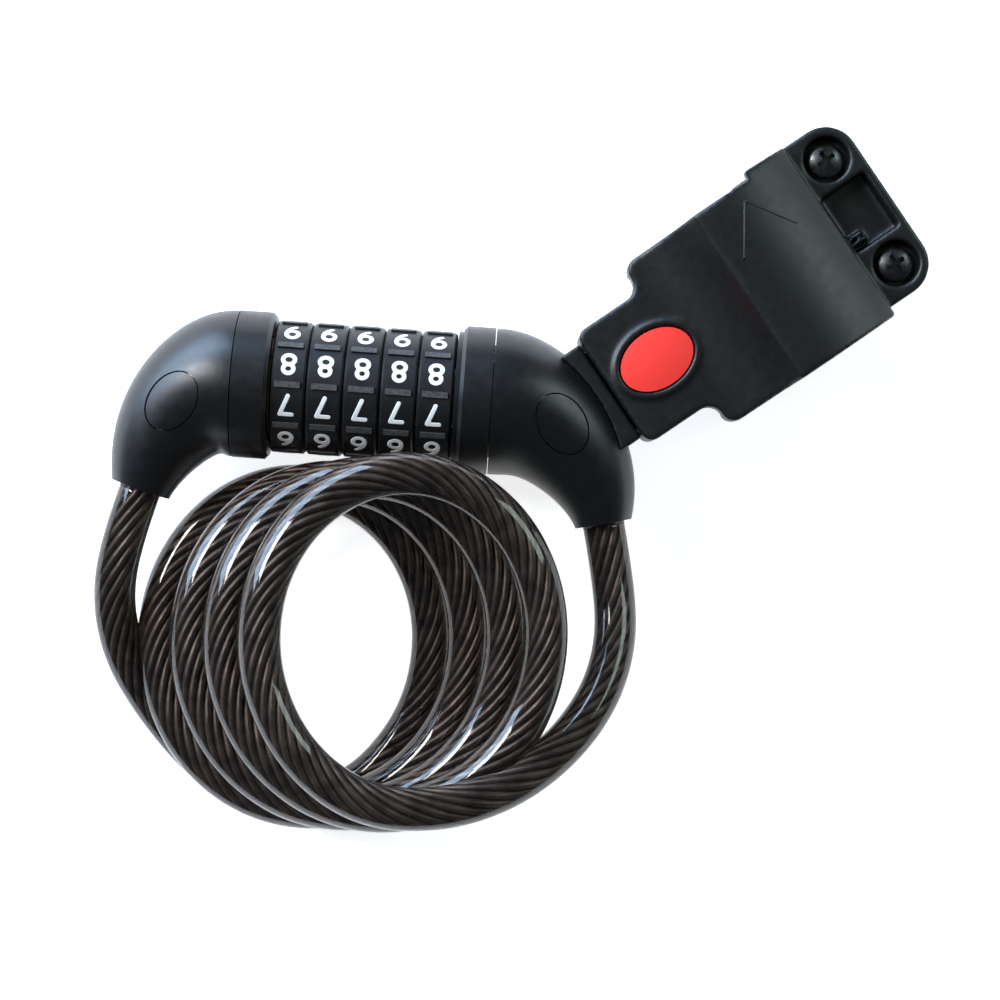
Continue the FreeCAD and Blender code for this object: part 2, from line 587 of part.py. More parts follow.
def upper_half():
    ears = []
    seats = []
    for tag, way in SIDES:
        ears += [cross_rod("Ear" + tag, "knuckle_radius", way, EAR, f"{EAR} + knuckle_width"),
                 box("EarArm" + tag, ("hinge_reach", "hinge_reach + knuckle_radius"),
                     across(way, EAR, f"{EAR} + knuckle_width"),
                     ("-hinge_drop", "clamp_gap/2 + knuckle_radius"))]
        seats += [box("KnuckleSeat" + tag,
                      ("0", "hinge_reach + knuckle_radius + knuckle_gap"),
                      across(way, "socket_half", EAR),
                      ("-socket_floor", "knuckle_radius - hinge_drop + knuckle_gap")),
                  cross_rod("EarHole" + tag, "hinge_radius", way, EAR, f"{EAR} + 2*knuckle_width")]
    socket = slab("Socket", ("saddle_side + saddle_lap", "socket_start"), "socket_half",
                  ("-socket_floor", "socket_top"), "-socket_corner")
    flange = slab("Flange", (f"{SADDLE_END} - saddle_wall", FLANGE_END), "saddle_half",
                  ("clamp_gap/2", "flange_height"), "+flange_corner", "flange_shift")
    dish = cylinder("Dish", "dish_radius", "2*saddle_half + 2*overcut", "dish_place",
                    "-saddle_half - overcut", "socket_top + dish_radius", ALONG_Y)
    rim = oval("Rim", "button_long + button_gap + rim_width", "button_short + button_gap + rim_width",
               "socket_top - overcut", "socket_top + rim_height")
    dished = cut("DishedCrown", crown("UpperCrown", "saddle_side", 1), dish)
    solid = fuse("UpperSolid", dished, *socket, *flange, rim, *(armpit(*side) for side in SIDES))
    recess = box("Recess", (f"{SADDLE_END} + recess_wall/2", f"{FLANGE_END} - recess_wall"),
                 ("flange_shift - recess_half", "flange_shift + recess_half"),
                 ("flange_height - recess_depth", "flange_height + overcut"))
    fin_start = "flange_shift - recess_half"
    fins = [box(f"Fin{n}", (f"{SADDLE_END} + recess_wall/2 - fin_root", f"{SADDLE_END} + 5*recess_wall/2"),
                (f"{fin_start} + {n}*2*fin_width", f"{fin_start} + {n}*2*fin_width + fin_width"),
                ("flange_height - recess_depth - fin_root", "flange_height - fin_drop"))
            for n in (1, 2)]
    tools = fuse("UpperTools", tube_space("UpperBore"), *seats,
                 box("Slot", ("socket_start - overcut", "slot_end"), ("-slot_half", "slot_half"),
                     ("-slot_height", "slot_height")),
                 box("LeafPocket", POCKET, ("-pocket_half", "pocket_half"),
                     ("-socket_floor - overcut", "0")),
                 box("CoverSeat", (f"{POCKET[0]} - cover_lip_x", f"{POCKET[1]} + cover_lip_x"),
                     ("-pocket_half - cover_lip_y", "pocket_half + cover_lip_y"),
                     ("-socket_floor - overcut", COVER_TOP)),
                 oval("ButtonWell", "button_long + button_gap", "button_short + button_gap",
                      "slot_height + ledge", f"{BUTTON_TOP} + overcut"),
                 cylinder("StemHole", "stem_radius + button_gap", "ledge + 2*overcut",
                          z="slot_height - overcut"),
                 *screw_holes("UpperHole", "shank_radius + screw_gap", "0", "flange_height + overcut"),
                 *screw_holes("Counterbore", "counterbore", "flange_height - seat_depth",
                              "seat_depth + overcut"))
    solid = fuse("UpperFinned", cut("UpperRecessed", solid, recess), *fins)
    solid = fuse("UpperEared", cut("UpperCut", solid, tools), *ears)
    holes = [thing for thing in seats if thing.Name.startswith("EarHole")]
    node("bracket_upper_half", cut("UpperHalf", solid, *holes, tube_space("UpperBoreAgain")),
         in_bracket=True)


def lower_half():
    knuckles = []
    seats = []
    inner = ("socket_half + knuckle_gap", "socket_half + knuckle_gap + knuckle_width")
    for tag, way in SIDES:
        knuckles += [cross_rod("Knuckle" + tag, "knuckle_radius", way, *inner),
                     box("KnuckleArm" + tag, ("hinge_reach", "hinge_reach + knuckle_radius + overcut"),
                         across(way, *inner), ("-hinge_drop - knuckle_radius", "-clamp_gap/2"))]
        seats += [box("EarSeat" + tag, ("0", "hinge_reach + knuckle_radius + knuckle_gap"),
                      across(way, f"{EAR} - knuckle_gap", "saddle_half + overcut"),
                      (f"-{CREST}", "0"))]
    flange = slab("LowerFlange", (f"{SADDLE_END} - saddle_wall", FLANGE_END), "saddle_half",
                  ("-flange_height", "-clamp_gap/2"), "+flange_corner", "flange_shift")
    block = crown("LowerCrown", "(saddle_side + saddle_lap + knuckle_gap)", -1)
    solid = cut("LowerSeated", fuse("LowerBlock", block, *flange), *seats)
    nuts = [hexagon("NutPocket" + tag, "nut_flats + screw_gap", way, "-flange_height - overcut",
                    "nut_height + overcut") for tag, way in SIDES]
    tools = fuse("LowerTools", tube_space("LowerBore"), *nuts,
                 *screw_holes("LowerHole", "shank_radius + screw_gap", "-flange_height - overcut",
                              "flange_height + overcut"))
    pins = [cross_rod("KnuckleHole" + tag, "hinge_radius", way, "socket_half", inner[1])
            for tag, way in SIDES]
    node("bracket_lower_half", cut("LowerHalf", fuse("LowerKnuckled", solid, *knuckles), tools, *pins),
         in_bracket=True)


def hexagon(name, flats, way, low, height):
    thing = doc.addObject("Part::Prism", name)
    thing.Polygon = 6
    bind(thing, Circumradius=f"({flats})/{math.sqrt(3):.9f}", Height=height)
    return put(thing, SCREW_X, screw_y(way), low)


def fasteners():
    for number, (tag, way) in enumerate(SIDES, start=1):
        place = (SCREW_X, screw_y(way))
        seat = "flange_height - seat_depth"
        top = f"{seat} + head_height"
        cap = cylinder("ScrewCap" + tag, "head_radius", "head_height", *place, seat)
        dome = doc.addObject("Part::Sphere", "ScrewDome" + tag)
        bind(dome, Radius="2*head_radius")
        put(dome, *place, f"{top} - 2*head_radius")
        shank = cylinder("ScrewShank" + tag, "shank_radius",
                         "2*flange_height - seat_depth - screw_short", *place,
                         "-flange_height + screw_short")
        cross = [box(f"ScrewCross{tag}{n}", (f"{place[0]} - {half[0]}/2", f"{place[0]} + {half[0]}/2"),
                     (f"{place[1]} - {half[1]}/2", f"{place[1]} + {half[1]}/2"),
                     (f"{top} - cross_depth", f"{top} + overcut"))
                 for n, half in enumerate((("cross_width", "cross_span"), ("cross_span", "cross_width")))]
        screw = cut("Screw" + tag, fuse("ScrewBlank" + tag, common("ScrewHead" + tag, cap, dome), shank),
                    *cross)
        node(f"clamp_screw_{number}", screw, in_bracket=True)
        nut = cut("Nut" + tag, hexagon("NutBlank" + tag, "nut_flats", way, "-flange_height",
                                       "nut_height"),
                  cylinder("NutBore" + tag, "shank_radius", "nut_height", *place, "-flange_height"))
        node(f"clamp_nut_{number}", nut, in_bracket=True)
        node(f"hinge_pin_{number}", group("HingePin" + tag, cross_rod(
            "HingeRod" + tag, "hinge_radius - run_clearance", way, "socket_half + knuckle_gap/2",
            f"{EAR} + knuckle_width + knuckle_gap")), in_bracket=True)


def liners():
    for label, way in (("clamp_liner_upper", 1), ("clamp_liner_lower", -1)):
        name = label.title().replace("_", "")
        z = (("clamp_gap/2", f"{CREST}") if way > 0 else (f"-{CREST}", "-clamp_gap/2"))
        ring = cut(name + "Ring", tube_space(name + "Out"),
                   cylinder(name + "In", "tube_radius", "2*saddle_half + 4*flange_shift", TUBE_X,
                            "-saddle_half - 2*flange_shift", "0", ALONG_Y))
        half = box(name + "Half", (f"{TUBE_X} - {CREST}", f"{TUBE_X} + {CREST}"),
                   ("-saddle_half + liner_inset", "saddle_half - liner_inset"), z)
        node(label, common(name, ring, half), in_bracket=True)


def release_parts():
    dome = doc.addObject("Part::Sphere", "ButtonDome")
    bind(dome, Radius="button_dome")
    put(dome, z=f"{BUTTON_TOP} - button_dome")
    cap = common("ButtonCap", oval("ButtonOval", "button_long", "button_short", BUTTON_FOOT,
                                   BUTTON_TOP), dome)
    stem = cylinder("ButtonStem", "stem_radius", "stem_length + stem_root",
                    z=f"{BUTTON_FOOT} - stem_length")
    node("release_button", fuse("Button", cap, stem), in_bracket=True)

    height = f"{BUTTON_FOOT} - slot_height - ledge"
    spring = cut("ButtonSpring",
                 cylinder("SpringOut", "stem_radius + 2*button_gap + spring_wall", height,
                          z="slot_height + ledge"),
                 cylinder("SpringIn", "stem_radius + 2*button_gap", height, z="slot_height + ledge"))
    node("button_spring", spring, in_bracket=True)

    leaf = body("LatchLeaf")
    foot = ("pocket_end - slide_gap - leaf_foot", "pocket_end - slide_gap")
    hook = ("-hook_reach - hook_width/2", "hook_width/2 - hook_reach")
    low = COVER_TOP
    tip = f"hook_depth - {TONGUE} - 2*slide_gap"
    outline = polygon(sketch(leaf, "LeafOutline", "XZ_Plane"), [
        (foot[1], low), (foot[1], f"{low} + leaf_thickness"), (foot[0], f"{low} + leaf_thickness"),
        (hook[1], f"{low} + leaf_thickness + leaf_rise"), (hook[1], tip), (hook[0], tip),
        (hook[0], f"{low} + leaf_thickness/2 + leaf_rise"), (foot[0], low)])
    pad = feature(leaf, "Pad", "LeafPad", outline, Length="2*leaf_half")
    pad.SideType = "Symmetric"
    node("latch_leaf", leaf, in_bracket=True)

    lip_x, lip_y = "cover_lip_x - cover_gap", "cover_lip_y - cover_gap"
    cover = box("LatchCoverPlate", (f"{POCKET[0]} - ({lip_x})", f"{POCKET[1]} + {lip_x}"),
                (f"-pocket_half - ({lip_y})", f"pocket_half + {lip_y}"), ("-socket_floor", COVER_TOP))
    node("latch_cover", group("LatchCover", cover), in_bracket=True)


def lug():
    place = FreeCAD.Rotation(Z_AXIS, size("bracket_angle"))
    neck_end = "(socket_start - neck_gap)"
    tongue = box("Tongue", (f"{neck_end} - overcut", "slot_end - tongue_gap"),
                 ("slide_gap - slot_half", "slot_half - slide_gap"), (f"-{TONGUE}", TONGUE))
    neck = box("Neck", (f"{neck_end} - neck_depth", neck_end), ("-neck_half", "neck_half"),
               ("-neck_height", "neck_height"))
    fork = box("Fork", ("-fork_root", "slot_end + overcut"), ("-fork_half", "fork_half"),
               ("-neck_height", "neck_height"))
    notch = box("HookNotch", ("-hook_reach - hook_width/2 - hook_gap",
                              "hook_width/2 - hook_reach + hook_gap"),
                ("-pocket_half", "pocket_half"), ("-neck_height", f"hook_depth - {TONGUE}"))
    raw = cut("LugRaw", fuse("LugSolid", tongue, neck), fork, notch)
    put(raw, BRACKET_X, "bracket_y", "0", place)
    last = len(RIGHT_HORN) - 1
    seat = cylinder("LugScrewSeat", "lug_screw_head + lug_screw_gap", "lug_screw_seat + driver_room",
                    *from_bracket("driver_room - fork_root", "0"), "0", into_lug())
    solid = cut("Lug", raw, horn_loft("LugHorn", "right", "0", last), seat,
                lug_rod("LugScrewHole", "lug_screw_radius", "lug_screw_length"))
    node("bracket_lug", solid)
    top = cylinder("LugScrewHead", "lug_screw_head", "lug_screw_seat",
                   *from_bracket("-fork_root", "0"), "0", into_lug())
    node("lug_screw", fuse("LugScrew", lug_rod("LugScrewShank", "lug_screw_radius", "lug_screw_length"),
                           top))


upper_half()
lower_half()
fasteners()
liners()
release_parts()
lug()

# ---------------------------------------------------------------- cable

def coil_centre(height):
    """Expressions for the middle of the coil's turns at a height above the dial axis."""
    fall = f"(({height}) - ({COIL_TOP}))/coil_pitch"
    return f"coil_top_x - {fall}*coil_step_x", f"coil_top_y - {fall}*coil_step_y"


COIL_LOW = f"(floor_gap - {CREST})"
COIL_TOP = f"({COIL_LOW} + cable_radius + coil_turns*coil_pitch)"
COIL_HIGH = f"({COIL_TOP} + cable_radius)"


def coil_skin(name, grow):
    """The leaning cylinder that touches the coil's turns, bigger by grow."""
    edges = []
    for tag, height in (("Low", COIL_LOW), ("High", COIL_HIGH)):
        edge = doc.addObject("Part::Ellipse", name + tag)
        bind(edge, MajorRadius=f"coil_radius_y + {grow}", MinorRadius=f"coil_radius_x + {grow}")
        put(edge, *coil_centre(height), height, FreeCAD.Rotation(Z_AXIS, 90))
        edges.append(edge)
    skin = doc.addObject("Part::Loft", name)
    skin.Sections = edges
    skin.Solid = True
    skin.Ruled = True
    return skin


def tube(name, route):
    """A round cable along straight runs joined by arcs as large as the runs allow."""
    points = [FreeCAD.Vector(*point) for point in route]
    edges = []
    start = points[0]
    radii = []
    for before, corner, after in zip(points, points[1:], points[2:]):
        back, on = before - corner, after - corner
        run = min(back.Length, on.Length)
        half_turn = (math.pi - back.getAngle(on)) / 2
        trim = 0.45 * run
        radii.append(trim / math.tan(half_turn))
        near = corner + back.normalize() * trim
        far = corner + on.normalize() * trim
        bow = (back + on).normalize()
        depth = radii[-1] / math.cos(half_turn) - radii[-1]
        edges += [Part.LineSegment(start, near).toShape(),
                  Part.Arc(near, corner + bow * depth, far).toShape()]
        start = far
    edges.append(Part.LineSegment(start, points[-1]).toShape())
    path = Part.Wire(edges)
    radius = size("cable_radius")
    first = points[1] - points[0]
    section = Part.Wire(Part.makeCircle(radius, points[0], first))
    solid = path.makePipeShell([section], True, False, 1)
    print(f"{name}: length {path.Length:.1f} radii {[round(r, 1) for r in radii]} "
          f"volume over section times length {solid.Volume / (math.pi * radius**2 * path.Length):.4f}")
    thing = doc.addObject("Part::Feature", name)
    thing.Shape = solid
    return thing


def cable():
    solid = cut("Coil", coil_skin("CoilOutside", "cable_radius"),
                coil_skin("CoilInside", "-cable_radius"))
    node("cable_coil", solid)
    for side, route, gap in (("right", RIGHT_LEAD, "0"), ("left", LEFT_LEAD, "lead_gap")):
        way = -1 if side == "left" else 1
        last = len(LEFT_HORN) - 1
        out = DIALS / 2 * size("dial_pitch") + size(f"{side}_reach_{last}")
        mouth = FreeCAD.Vector(way * out, -size(f"{side}_drop_{last}"), 0)
        straight = mouth + exit_direction(side) * size("lead_start")
        lead = tube(side.title() + "LeadTube", [mouth, straight, *route])
        node(f"cable_lead_{side}", cut(side.title() + "Lead", lead,
                                       coil_skin(side.title() + "LeadStop", f"cable_radius + {gap}")))


cable()

# ---------------------------------------------------------------- checks and export

def finished():
    doc.recompute()
    for thing in doc.Objects:
        if "Invalid" in thing.State or "Error" in thing.State:
            raise SystemExit(f"{thing.Name} ({thing.Label}) failed: {thing.State}")
    for label, thing in NODES.items():
        if thing.Shape.isNull() or not thing.Shape.isValid():
            raise SystemExit(f"{label} has no valid shape")


finished()
CORD_NODES = ("cable_coil", "cable_lead_left", "cable_lead_right")
whole = FreeCAD.BoundBox()
for label, thing in NODES.items():
    if label not in CORD_NODES:
        whole.add(thing.Shape.optimalBoundingBox())
for axis, offset in (("x", -whole.Center.x), ("y", -whole.Center.y), ("z", -whole.ZMin)):
    sheet.set(sheet.getCellFromAlias("origin_" + axis), f"{offset:.6f}")
finished()

os.makedirs("parts", exist_ok=True)
for label, thing in NODES.items():
    thing.Shape.exportStep(f"parts/{label}.step")
    print(f"{label:22s} solids {len(thing.Shape.Solids)}  volume {thing.Shape.Volume:10.1f}")
print("origin:", [round(size("origin_" + axis), 3) for axis in "xyz"])
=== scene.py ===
"""Looks for the combination cable lock: camera, cable, digits, rounded shells and materials.

Lengths are in metres. Points of the lock are given from the middle of the dial axis, and points
of the bracket from the middle of its release button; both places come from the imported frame.
"""

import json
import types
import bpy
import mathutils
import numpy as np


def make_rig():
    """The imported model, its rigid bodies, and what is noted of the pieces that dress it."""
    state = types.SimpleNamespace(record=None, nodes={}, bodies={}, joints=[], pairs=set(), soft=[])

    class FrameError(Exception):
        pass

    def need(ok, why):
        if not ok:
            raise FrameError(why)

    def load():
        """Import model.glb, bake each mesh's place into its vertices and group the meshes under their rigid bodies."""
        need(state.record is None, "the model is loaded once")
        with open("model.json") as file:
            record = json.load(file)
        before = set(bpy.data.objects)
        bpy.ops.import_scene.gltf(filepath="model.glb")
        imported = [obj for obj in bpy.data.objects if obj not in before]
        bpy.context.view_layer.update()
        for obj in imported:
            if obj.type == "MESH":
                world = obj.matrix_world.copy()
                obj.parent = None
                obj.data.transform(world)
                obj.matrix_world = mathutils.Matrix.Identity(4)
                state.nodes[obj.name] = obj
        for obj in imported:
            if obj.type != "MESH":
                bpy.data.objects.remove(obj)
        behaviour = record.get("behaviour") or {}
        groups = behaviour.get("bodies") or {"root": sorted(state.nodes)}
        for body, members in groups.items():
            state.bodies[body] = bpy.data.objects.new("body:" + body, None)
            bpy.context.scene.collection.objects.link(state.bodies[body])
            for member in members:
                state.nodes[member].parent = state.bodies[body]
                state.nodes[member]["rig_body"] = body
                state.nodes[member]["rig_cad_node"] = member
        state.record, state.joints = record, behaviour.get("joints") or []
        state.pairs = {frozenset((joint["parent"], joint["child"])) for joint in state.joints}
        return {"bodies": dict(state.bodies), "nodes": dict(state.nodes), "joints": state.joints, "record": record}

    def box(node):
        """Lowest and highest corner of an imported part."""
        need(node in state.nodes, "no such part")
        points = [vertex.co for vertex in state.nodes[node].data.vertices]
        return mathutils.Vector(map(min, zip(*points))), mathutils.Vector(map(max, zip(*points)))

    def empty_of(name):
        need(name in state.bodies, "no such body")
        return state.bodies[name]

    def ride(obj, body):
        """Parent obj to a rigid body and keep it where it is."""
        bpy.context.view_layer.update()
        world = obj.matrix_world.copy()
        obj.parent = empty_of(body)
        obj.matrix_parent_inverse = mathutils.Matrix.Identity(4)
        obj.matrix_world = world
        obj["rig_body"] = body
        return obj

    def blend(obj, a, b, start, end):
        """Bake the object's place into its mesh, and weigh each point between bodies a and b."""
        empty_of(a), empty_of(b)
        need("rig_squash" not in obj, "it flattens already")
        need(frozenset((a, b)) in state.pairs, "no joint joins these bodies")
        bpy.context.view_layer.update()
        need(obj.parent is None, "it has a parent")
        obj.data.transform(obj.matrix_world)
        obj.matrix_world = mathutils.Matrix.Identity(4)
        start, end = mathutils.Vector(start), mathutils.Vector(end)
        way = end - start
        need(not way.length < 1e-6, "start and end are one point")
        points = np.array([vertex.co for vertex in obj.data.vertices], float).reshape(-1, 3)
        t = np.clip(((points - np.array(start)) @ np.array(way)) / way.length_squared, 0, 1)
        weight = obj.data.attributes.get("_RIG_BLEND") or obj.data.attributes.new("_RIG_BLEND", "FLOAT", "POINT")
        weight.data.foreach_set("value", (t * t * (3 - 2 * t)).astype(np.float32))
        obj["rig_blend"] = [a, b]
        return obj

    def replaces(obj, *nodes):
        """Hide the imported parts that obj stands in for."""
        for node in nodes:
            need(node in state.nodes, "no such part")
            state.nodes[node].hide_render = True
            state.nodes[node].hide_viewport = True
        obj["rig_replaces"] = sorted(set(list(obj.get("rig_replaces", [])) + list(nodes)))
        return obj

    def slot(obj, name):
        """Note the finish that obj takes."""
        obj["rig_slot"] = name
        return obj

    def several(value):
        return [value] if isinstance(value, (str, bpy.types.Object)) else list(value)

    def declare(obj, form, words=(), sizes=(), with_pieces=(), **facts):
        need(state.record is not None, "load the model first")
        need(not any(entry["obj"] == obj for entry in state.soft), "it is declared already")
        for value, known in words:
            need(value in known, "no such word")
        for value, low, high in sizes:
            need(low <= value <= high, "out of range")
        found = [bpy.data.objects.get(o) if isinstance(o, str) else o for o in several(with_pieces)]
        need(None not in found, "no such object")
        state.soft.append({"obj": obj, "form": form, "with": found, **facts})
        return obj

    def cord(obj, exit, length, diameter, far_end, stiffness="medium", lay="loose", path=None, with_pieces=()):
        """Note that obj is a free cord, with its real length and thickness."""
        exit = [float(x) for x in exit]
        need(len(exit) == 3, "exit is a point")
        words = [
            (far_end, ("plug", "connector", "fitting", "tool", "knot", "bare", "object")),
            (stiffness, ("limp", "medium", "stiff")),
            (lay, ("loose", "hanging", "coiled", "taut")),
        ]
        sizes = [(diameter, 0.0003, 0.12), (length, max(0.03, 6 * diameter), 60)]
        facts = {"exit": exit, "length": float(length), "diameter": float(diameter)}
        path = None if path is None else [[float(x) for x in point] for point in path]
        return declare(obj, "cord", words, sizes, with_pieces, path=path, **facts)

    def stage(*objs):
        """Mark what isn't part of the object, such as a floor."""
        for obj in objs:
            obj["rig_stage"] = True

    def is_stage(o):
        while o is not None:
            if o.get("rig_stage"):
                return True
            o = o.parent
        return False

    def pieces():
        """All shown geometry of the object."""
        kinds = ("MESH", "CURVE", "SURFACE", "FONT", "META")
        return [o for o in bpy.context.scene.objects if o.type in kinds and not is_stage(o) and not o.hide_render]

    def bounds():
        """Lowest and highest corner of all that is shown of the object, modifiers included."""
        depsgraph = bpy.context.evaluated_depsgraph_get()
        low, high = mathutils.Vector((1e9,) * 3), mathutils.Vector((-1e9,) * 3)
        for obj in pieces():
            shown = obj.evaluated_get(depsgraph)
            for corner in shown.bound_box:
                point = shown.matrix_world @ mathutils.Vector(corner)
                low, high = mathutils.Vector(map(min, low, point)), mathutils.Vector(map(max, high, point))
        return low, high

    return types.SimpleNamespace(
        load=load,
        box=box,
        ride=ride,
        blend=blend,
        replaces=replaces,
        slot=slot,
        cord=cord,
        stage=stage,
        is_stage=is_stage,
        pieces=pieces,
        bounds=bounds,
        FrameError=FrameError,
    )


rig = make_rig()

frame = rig.load()
cad_box = [list(corner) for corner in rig.bounds()]
import json
import math
import bmesh
import bpy
from mathutils import Matrix, Vector

JOINTS = {joint["name"]: joint for joint in frame["joints"]}
LOCK = Vector(JOINTS["dial_3_turn"]["pos_m"])
AWAY = Vector(JOINTS["bracket_release"]["axis"])
SIDE = Vector((-AWAY.y, AWAY.x, 0))
UP = Vector((0, 0, 1))
BUTTON = sum(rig.box("release_button"), Vector()) / 2
BUTTON.z = LOCK.z
SIZE_FILE = "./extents.json"
SMOOTH_FACTOR = 0.5          # of each smoothing pass


def lock_point(x, y, z=0.0):
    """A point given from the middle of the dial axis."""
    return LOCK + Vector((x, y, z))


def bracket_point(x, y, z=0.0):
    """A point given from the button's axis: along the bracket, across it and up."""
    return BUTTON + AWAY * x + SIDE * y + UP * z


def add(name, mesh, smooth=True):
    """A new object for a mesh."""
    thing = bpy.data.objects.new(name, mesh)
    bpy.context.scene.collection.objects.link(thing)
    if smooth:
        mesh.polygons.foreach_set("use_smooth", [True] * len(mesh.polygons))
    return thing


def add_built(name, build, smooth=True):
    """A new object for a bmesh, which is used up."""
    mesh = bpy.data.meshes.new(name)
    build.to_mesh(mesh)
    build.free()
    return add(name, mesh, smooth)


def soften(thing, voxel, passes):
    """Modifiers that rebuild an object from voxels and smooth it."""
    remesh = thing.modifiers.new("Voxels", "REMESH")
    remesh.mode = "VOXEL"
    remesh.voxel_size = voxel
    smooth = thing.modifiers.new("Smooth", "SMOOTH")
    smooth.iterations = passes
    smooth.factor = SMOOTH_FACTOR


def applied(thing):
    """A new mesh with the object's modifiers applied."""
    return bpy.data.meshes.new_from_object(
        thing.evaluated_get(bpy.context.evaluated_depsgraph_get()))


# ---------------------------------------------------------------- camera

CAMERA_HEIGHT = 0.6          # above the dial axis
CAMERA_X, CAMERA_Y = 0.03396, -0.0233
CAMERA_TILT = math.radians(4)
CAMERA_LENS = 90.7


def camera():
    """A camera straight above the lock, turned by its tilt."""
    thing = bpy.data.objects.new("Camera", bpy.data.cameras.new("Camera"))
    bpy.context.scene.collection.objects.link(thing)
    thing.location = lock_point(CAMERA_X, CAMERA_Y, CAMERA_HEIGHT)
    thing.rotation_euler = (0, 0, CAMERA_TILT)
    thing.data.lens = CAMERA_LENS
    bpy.context.scene.camera = thing


camera()

# ---------------------------------------------------------------- cable

CABLE_RADIUS = 0.005
ROPE_RADIUS = 0.0037         # over the wires
WIRES = 10
WIRE_RADIUS = 0.00088
CORE_RADIUS = ROPE_RADIUS - 1.6 * WIRE_RADIUS        # closes the gaps between the wires
LAY = 0.050                  # along the cable for one turn of a wire
RING_STEP = 0.0012           # between the rings of the tubes
SHEATH_SIDES, CORE_SIDES, WIRE_SIDES = 28, 12, 8
ROUTE_RESOLUTION = 24        # steps of the cable's spline for each point of its route
SPLINE_ORDER = 3
ROUNDING = 1e-9

# the leads, from the middle of the dial axis: where and which way each comes out of its head, how
# far it runs straight, and the points that it then follows
RIGHT_MOUTH, RIGHT_TURN = (0.0589, -0.0272, 0.0), math.radians(-76)
LEFT_MOUTH, LEFT_TURN = (-0.0516, -0.0266, 0.0), math.radians(-106)
LEAD_START = 0.014
RIGHT_LEAD = [(0.0638, -0.0546, 0.0032), (0.0608, -0.0675, 0.0080), (0.0530, -0.0795, 0.0135),
              (0.0410, -0.0895, 0.0190), (0.0255, -0.0953, 0.0235)]
LEFT_LEAD = [(-0.0570, -0.0537, -0.0038), (-0.0543, -0.0663, -0.0086), (-0.0480, -0.0770, -0.0129)]
# the end of the lowest turn, between the coil and the left lead
LAST_TURN = [(-0.0050, -0.0998, -0.0158), (-0.0175, -0.0998, -0.0158), (-0.0285, -0.0960, -0.0158),
             (-0.0385, -0.0882, -0.0152)]

# the coil, whose turns drop and shift to the left: sizes for half a turn
COIL_RADIUS_X, COIL_RADIUS_Y = 0.0352, 0.0390
COIL_X, COIL_Y, COIL_Z = 0.0207, -0.05659, 0.02755
STEP_X, STEP_Y, STEP_Z = -0.0045, -0.00073, -0.0051
COIL_FROM, COIL_TO = 0.6, 8.27
POINTS_PER_TURN = 12
CONTROL = 1 / math.cos(math.pi / POINTS_PER_TURN)   # control points stand this much outside the turn
LOWEST = -0.0158             # the lowest turn's centre, above the floor


def coil_points():
    """Control points of the coil, from its top turn down to the floor."""
    count = round((COIL_TO - COIL_FROM) * POINTS_PER_TURN / 2)
    for k in range(count + 1):
        half = COIL_FROM + 2 * k / POINTS_PER_TURN
        yield (COIL_X + half * STEP_X + COIL_RADIUS_X * CONTROL * math.cos(math.pi * half),
               COIL_Y + half * STEP_Y - COIL_RADIUS_Y * CONTROL * math.sin(math.pi * half),
               max(COIL_Z + half * STEP_Z, LOWEST))


def straight_end(mouth, turn):
    """Where a lead stops running straight out of its head."""
    return (mouth[0] + LEAD_START * math.cos(turn), mouth[1] + LEAD_START * math.sin(turn), 0.0)


def cable_line():
    """Points read from the cable's own spline."""
    route = [RIGHT_MOUTH, straight_end(RIGHT_MOUTH, RIGHT_TURN), *RIGHT_LEAD, *coil_points(),
             *LAST_TURN, *reversed(LEFT_LEAD), straight_end(LEFT_MOUTH, LEFT_TURN), LEFT_MOUTH]
    curve = bpy.data.curves.new("CableRoute", "CURVE")
    curve.dimensions = "3D"
    curve.resolution_u = ROUTE_RESOLUTION
    spline = curve.splines.new("NURBS")
    spline.points.add(len(route) - 1)
    for point, place in zip(spline.points, route):
        point.co = (*lock_point(*place), 1)
    spline.order_u = SPLINE_ORDER
    spline.use_endpoint_u = True
    thing = bpy.data.objects.new("CableRoute", curve)
    bpy.context.scene.collection.objects.link(thing)
    mesh = bpy.data.meshes.new_from_object(thing)
    points = [vertex.co.copy() for vertex in mesh.vertices]
    bpy.data.objects.remove(thing)
    return points


def even_line(points, step):
    """Rings a step apart along the line, each a (place, forward, right) with no twist, and the
    line's length."""
    length = sum((b - a).length for a, b in zip(points, points[1:]))
    count = round(length / step)
    spacing = length / count
    places = [points[0]]
    passed, target = 0.0, spacing
    for a, b in zip(points, points[1:]):
        run = (b - a).length
        while run > 0 and passed + run >= target - ROUNDING and len(places) < count:
            places.append(a.lerp(b, (target - passed) / run))
            target += spacing
        passed += run
    places.append(points[-1])
    rings = []
    right = UP.cross(places[1] - places[0]).normalized()
    for k, place in enumerate(places):
        forward = (places[min(k + 1, count)] - places[max(k - 1, 0)]).normalized()
        right = (right - forward * right.dot(forward)).normalized()
        rings.append((place, forward, right))
    return rings, length


def tube(build, centres, radius, sides, caps):
    """Add a round tube through (place, forward, right) rings to a bmesh, with a cap where caps says."""
    loops = []
    for place, forward, right in centres:
        over = forward.cross(right)
        loops.append([build.verts.new(place + radius * (math.cos(turn) * right + math.sin(turn) * over))
                      for turn in (2 * math.pi * side / sides for side in range(sides))])
    for low, high in zip(loops, loops[1:]):
        for side in range(sides):
            after = (side + 1) % sides
            build.faces.new((low[side], low[after], high[after], high[side]))
    if caps[0]:
        build.faces.new(reversed(loops[0]))
    if caps[1]:
        build.faces.new(loops[-1])


